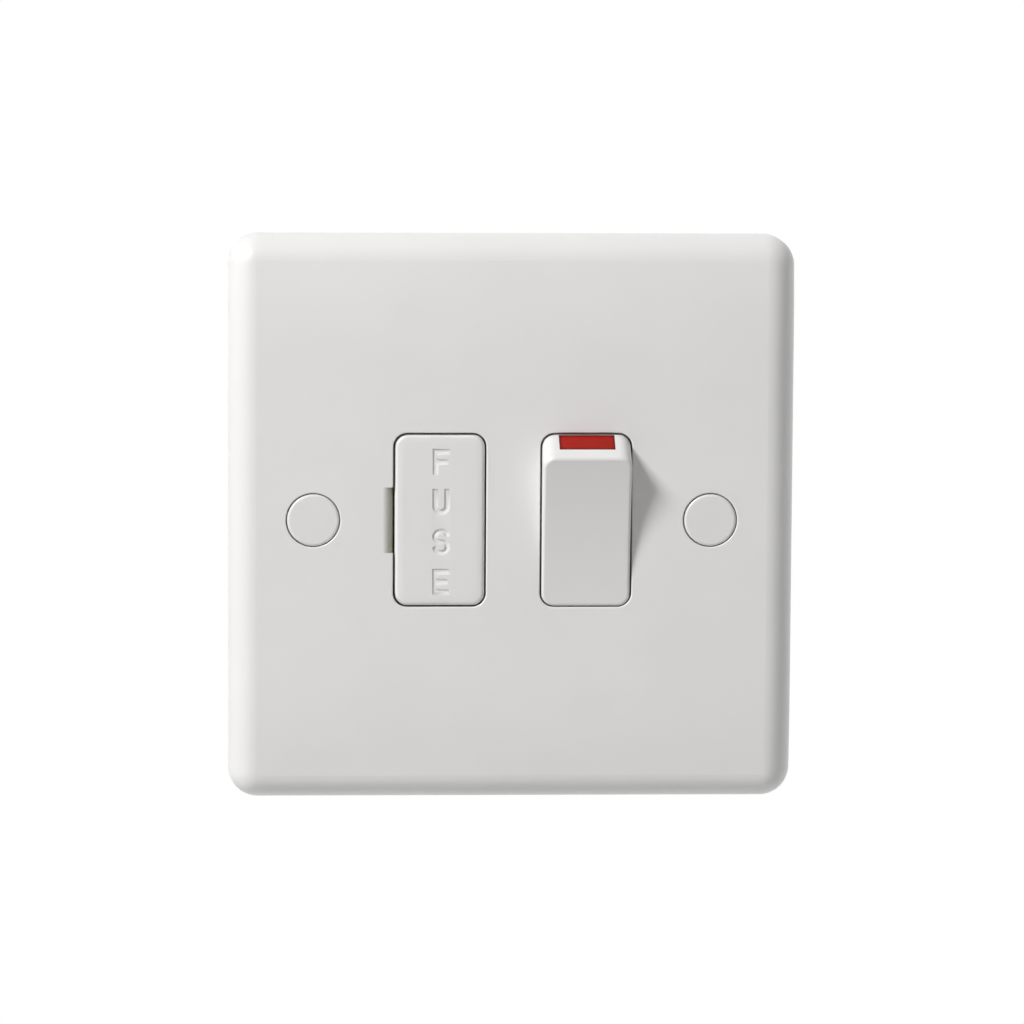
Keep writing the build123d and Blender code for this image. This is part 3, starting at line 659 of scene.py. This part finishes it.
class SPUR_OT_build_poles(bpy.types.Operator):
    """Wind the two plunger springs and finish the plungers and contacts"""

    bl_idname = "spur.build_poles"
    bl_label = "Build switch poles"

    def execute(self, context):
        unit = context.scene.spur_unit
        colours = unit.colours
        nylon = natural_nylon("nylon_moulded_plungers", list(colours.nylon))
        strip = worked_metal("brass_rolled_contacts", list(colours.brass), 0.3, (1, 1, 0.04), 0.14, 0.18)
        steel = worked_metal("spring_steel_drawn_wire", list(colours.steel), 0.28, (1, 1, 1), 0.3, 0.15)
        for pole in POLES:
            dress(nylon, f"plunger_{pole}")
            dress(strip, f"moving_contact_{pole}", f"fixed_contact_{pole}", f"fulcrum_{pole}")
            self.wind(pole, unit.fittings.wire, unit.fittings.turns, steel)
        return {"FINISHED"}

    def wind(self, pole, wire, turns, steel):
        """Winds one spring into the sleeve that the CAD keeps for it."""
        low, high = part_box(f"plunger_spring_{pole}")
        across = Vector((1, 0, 0))
        axis = Vector((0, cos(rocker_lean), sin(rocker_lean)))
        up = across.cross(axis)
        diameter = high.x - low.x
        length = (high.y - low.y - diameter * sin(rocker_lean)) / cos(rocker_lean) - wire
        root = (low + high) / 2 - axis * length / 2

        def rise(turn):
            """How far up the wire has come: one closed turn at each end, an even pitch between."""
            if turn < 1:
                return turn * wire
            if turn > turns - 1:
                return length - (turns - turn) * wire
            return wire + (turn - 1) * (length - 2 * wire) / (turns - 2)

        sides = [2 * pi * i / WIRE_SIDES for i in range(WIRE_SIDES)]
        bm = bmesh.new()
        rings = []
        for i in range(turns * TURN_STEPS + 1):
            turn = i / TURN_STEPS
            out = across * cos(2 * pi * turn) + up * sin(2 * pi * turn)
            centre = root + axis * rise(turn) + out * (diameter - wire) / 2
            rings.append([bm.verts.new(centre + (out * cos(a) + axis * sin(a)) * wire / 2) for a in sides])
        fill_between(bm, rings)
        bm.faces.new(rings[0])
        bm.faces.new(rings[-1])
        bmesh.ops.recalc_face_normals(bm, faces=bm.faces)
        sleeve = [f"plunger_spring_{pole}"]
        new_piece(f"plunger_spring_coil_{pole}", bm, steel, "rocker", sleeve, degrees_sharp=50)


class SPUR_OT_finish_rear(bpy.types.Operator):
    """Finish the rear moulding, its terminals, the earth link and the screws"""

    bl_idname = "spur.finish_rear"
    bl_label = "Finish rear moulding and terminals"

    def execute(self, context):
        unit = context.scene.spur_unit
        brass, zinc = list(unit.colours.brass), list(unit.colours.zinc)
        dress(sparked_moulding("thermoset_sparked_rear", list(unit.colours.rear)), "rear_base")
        bar = worked_metal("brass_sawn_terminals", brass, 0.36, (1, 0.05, 1), 0.2, 0.16)
        dress(bar, *[f"terminal_{end}_{wire}" for end in ("load", "feed") for wire in WIRES])
        dress(worked_metal("brass_rolled_link", brass, 0.3, (1, 1, 0.04), 0.16, 0.2), "earth_link")
        # each clamp screw stands over the middle of its terminal
        live, earth, _ = (sum(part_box(f"terminal_load_{wire}"), Vector()) / 2 for wire in WIRES)
        clamps = turned_zinc("zinc_plated_clamp_screws", zinc, earth.x, abs(live.x - earth.x), abs(live.z))
        dress(clamps, "terminal_screws")
        # the upper right base screw's head touches this corner
        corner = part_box("base_screws")[1]
        reach = unit.fittings.base_head / 2
        across = corner.x - reach
        base = turned_zinc("zinc_plated_base_screws", zinc, across, 2 * across, corner.z - reach)
        dress(base, "base_screws")
        return {"FINISHED"}


class SPUR_OT_build_stage(bpy.types.Operator):
    """Set the floor, the lights, the world and the camera"""

    bl_idname = "spur.build_stage"
    bl_label = "Build stage"

    def execute(self, context):
        unit = context.scene.spur_unit
        self.lay_floor(unit.stage, list(unit.colours.floor))
        self.hang_key_light(unit.stage)
        self.light_world(context, unit.stage)
        self.place_camera(context, unit.stage)
        context.scene.view_settings.view_transform = "Standard"
        return {"FINISHED"}

    def seen_directly(self, tree):
        """1 for what the camera sees, straight or in gloss or glass, and 0 for light that falls on things."""
        path = add_node(tree, "ShaderNodeLightPath").outputs
        seen = path["Is Camera Ray"]
        for ray in ("Is Glossy Ray", "Is Transmission Ray"):
            seen = add_node(tree, "ShaderNodeMath", {"operation": "MAXIMUM"}, {0: seen, 1: path[ray]}).outputs[0]
        return seen

    def lay_floor(self, stage, paint):
        """A pale painted board, seen as white but for the object's shadow, that fades into the white round it."""
        material = bpy.data.materials.new("painted_board")
        tree = empty_tree(material)
        matt = add_node(tree, "ShaderNodeBsdfDiffuse", {"Color": paint})
        place = add_node(tree, "ShaderNodeTexCoord").outputs["Object"]
        far = add_node(tree, "ShaderNodeVectorMath", {"operation": "LENGTH"}, {0: place}).outputs["Value"]
        span = {"From Min": stage.floor_fade, "From Max": stage.floor_reach, "To Min": 0.5}
        fading = add_node(tree, "ShaderNodeMapRange", span, {"Value": far}).outputs["Result"]
        seen = {0: self.seen_directly(tree), 1: fading}
        seen = add_node(tree, "ShaderNodeMath", {"operation": "MULTIPLY"}, seen).outputs[0]
        lift = add_node(tree, "ShaderNodeEmission", {"Color": (1, 1, 1, 1)}, {"Strength": seen})
        both = add_node(tree, "ShaderNodeAddShader", links={0: matt.outputs[0], 1: lift.outputs[0]})
        add_node(tree, "ShaderNodeOutputMaterial", links={"Surface": both.outputs[0]})
        bm = bmesh.new()
        bmesh.ops.create_grid(bm, x_segments=2, y_segments=2, size=stage.floor_reach)
        bmesh.ops.translate(bm, verts=bm.verts, vec=(0, 0, -stage.floor_drop))
        board = add_mesh("floor", bm, material)

    def hang_key_light(self, stage):
        """One round soft box, high on the left before the plate."""
        light = bpy.data.lights.new("key_light", "AREA")
        light.shape = "DISK"
        light.size = stage.key_width
        light.energy = stage.key
        towards = Vector(stage.key_side).normalized()
        lamp = add_object("key_light", light)
        lamp.rotation_mode = "QUATERNION"
        lamp.rotation_quaternion = towards.to_track_quat("Z", "Y")
        lamp.location = towards * stage.key_distance

    def lobe(self, tree, heading, towards, edge, full, strength):
        """Light that comes from one side: none past its edge, growing to its full strength."""
        facing = add_node(tree, "ShaderNodeVectorMath", {"operation": "DOT_PRODUCT", 1: towards}, {0: heading})
        span = {"From Min": edge, "From Max": full, "To Max": strength}
        return add_node(tree, "ShaderNodeMapRange", span, {"Value": facing.outputs["Value"]}).outputs["Result"]

    def light_world(self, context, stage):
        """A pale room in front and a white card behind on the right, with white all round for the eye and for gloss."""
        world = bpy.data.worlds.new("studio")
        context.scene.world = world
        tree = empty_tree(world)
        heading = add_node(tree, "ShaderNodeTexCoord").outputs["Generated"]
        room = self.lobe(tree, heading, (0, -1, 0), 0.0, 1.0, stage.front_light)
        card = self.lobe(tree, heading, (cos(pi / 4), sin(pi / 4), 0), 0.1, 0.6, stage.card_light)
        falling = add_node(tree, "ShaderNodeMath", {"operation": "ADD"}, {0: room, 1: card}).outputs[0]
        sources = {"Value": self.seen_directly(tree), "To Min": falling}
        strength = add_node(tree, "ShaderNodeMapRange", {"To Max": 1.0}, sources).outputs["Result"]
        background = add_node(tree, "ShaderNodeBackground", {"Color": (1, 1, 1, 1)}, {"Strength": strength})
        add_node(tree, "ShaderNodeOutputWorld", links={"Surface": background.outputs[0]})

    def place_camera(self, context, stage):
        """A long lens a little to the left of the plate and a little above it."""
        turn, lift = stage.azimuth, stage.elevation
        back = Vector((sin(turn) * cos(lift), -cos(turn) * cos(lift), sin(lift)))
        right = Vector((cos(turn), sin(turn), 0))
        up = back.cross(right)
        middle = Vector((0, -plate_depth / 2, 0))
        aim = middle + right * stage.aim[0] + up * stage.aim[1]
        lens = bpy.data.cameras.new("camera")
        lens.lens = stage.lens
        lens.sensor_width = 36.0
        lens.clip_end = 50.0
        camera = add_object("camera", lens)
        place = middle + back * stage.distance
        view_back = (place - aim).normalized()
        view_right = Vector((0, 0, 1)).cross(view_back).normalized()
        view_up = view_back.cross(view_right)
        turned = Matrix((view_right, view_up, view_back)).transposed().to_4x4()
        camera.matrix_world = Matrix.Translation(place) @ turned @ Matrix.Rotation(stage.roll, 4, "Z")
        context.scene.camera = camera


class SPUR_PT_panel(bpy.types.Panel):
    """The unit's sizes, colours and pieces"""

    bl_idname = "SPUR_PT_panel"
    bl_label = "Fused connection unit"
    bl_space_type = "VIEW_3D"
    bl_region_type = "UI"
    bl_category = "Spur Unit"

    def draw(self, context):
        unit = context.scene.spur_unit
        for title in ("colours", "lettering", "fittings", "stage"):
            group = getattr(unit, title)
            box = self.layout.box()
            box.label(text=title.capitalize())
            for key in group.__annotations__:
                box.prop(group, key)
        for operator in OPERATORS:
            self.layout.operator(operator.bl_idname)


OPERATORS = (
    SPUR_OT_build_stage,
    SPUR_OT_finish_plate,
    SPUR_OT_finish_rocker,
    SPUR_OT_build_fuse_carrier,
    SPUR_OT_finish_fuse,
    SPUR_OT_build_poles,
    SPUR_OT_finish_rear,
)
CLASSES = (SpurColours, SpurLettering, SpurFittings, SpurStage, SpurUnit, *OPERATORS, SPUR_PT_panel)


def register():
    """Makes the settings, the operators and the panel known to Blender."""
    for cls in CLASSES:
        bpy.utils.register_class(cls)
    bpy.types.Scene.spur_unit = PointerProperty(type=SpurUnit)


def unregister():
    """Takes them all away again."""
    del bpy.types.Scene.spur_unit
    for cls in reversed(CLASSES):
        bpy.utils.unregister_class(cls)


def main():
    register()
    bpy.ops.spur.build_stage()
    bpy.ops.spur.finish_plate()
    bpy.ops.spur.finish_rocker()
    bpy.ops.spur.build_fuse_carrier()
    bpy.ops.spur.finish_fuse()
    bpy.ops.spur.build_poles()
    bpy.ops.spur.finish_rear()


if __name__ == "__main__":
    main()
